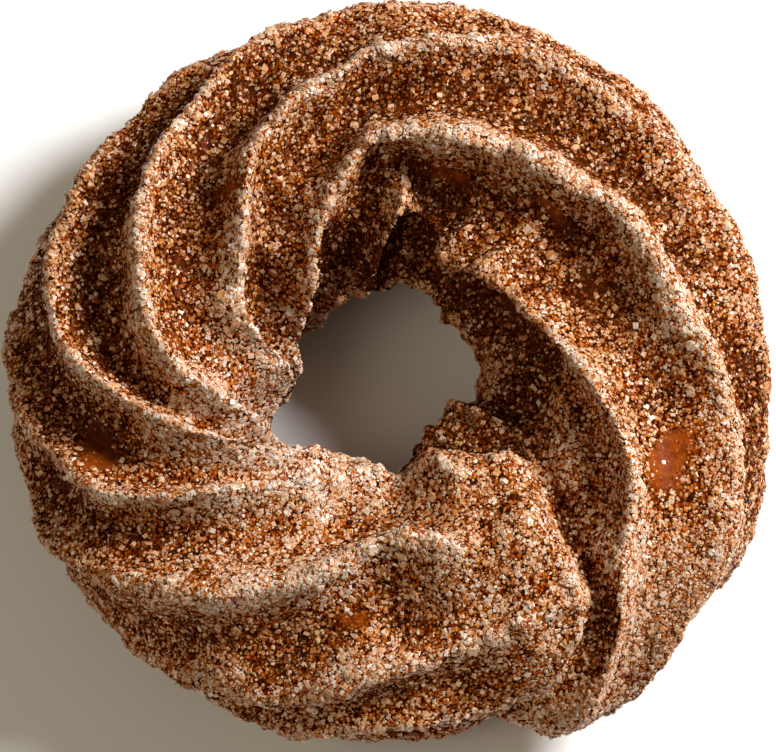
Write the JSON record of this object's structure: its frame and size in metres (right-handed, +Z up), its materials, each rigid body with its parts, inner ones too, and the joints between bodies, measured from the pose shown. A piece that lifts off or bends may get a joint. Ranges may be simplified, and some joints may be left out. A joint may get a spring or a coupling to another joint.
{
  "type": "cruller doughnut",
  "caption": "Ring-shaped cruller of twisted, star-piped choux dough, fried and rolled in cinnamon sugar, with deep spiral ridges, a lapped seam and an open hole.",
  "frame": {"origin": "middle of the ring's box, on the surface that it rests on", "axes": "+Z up through the hole; -Y towards the viewer who sees the lapped seam at the lower right; +X to that viewer's right"},
  "size_m": [0.09, 0.0894, 0.0299],
  "materials": {
    "dough": "fried choux crust, red-brown to golden, with a slight greasy sheen where it is bare",
    "sugar": "loose granulated sugar crystals mixed with cinnamon, glassy and beige to tan"
  },
  "bodies": {
    "root": {"cruller": "dough"}
  },
  "joints": []
}
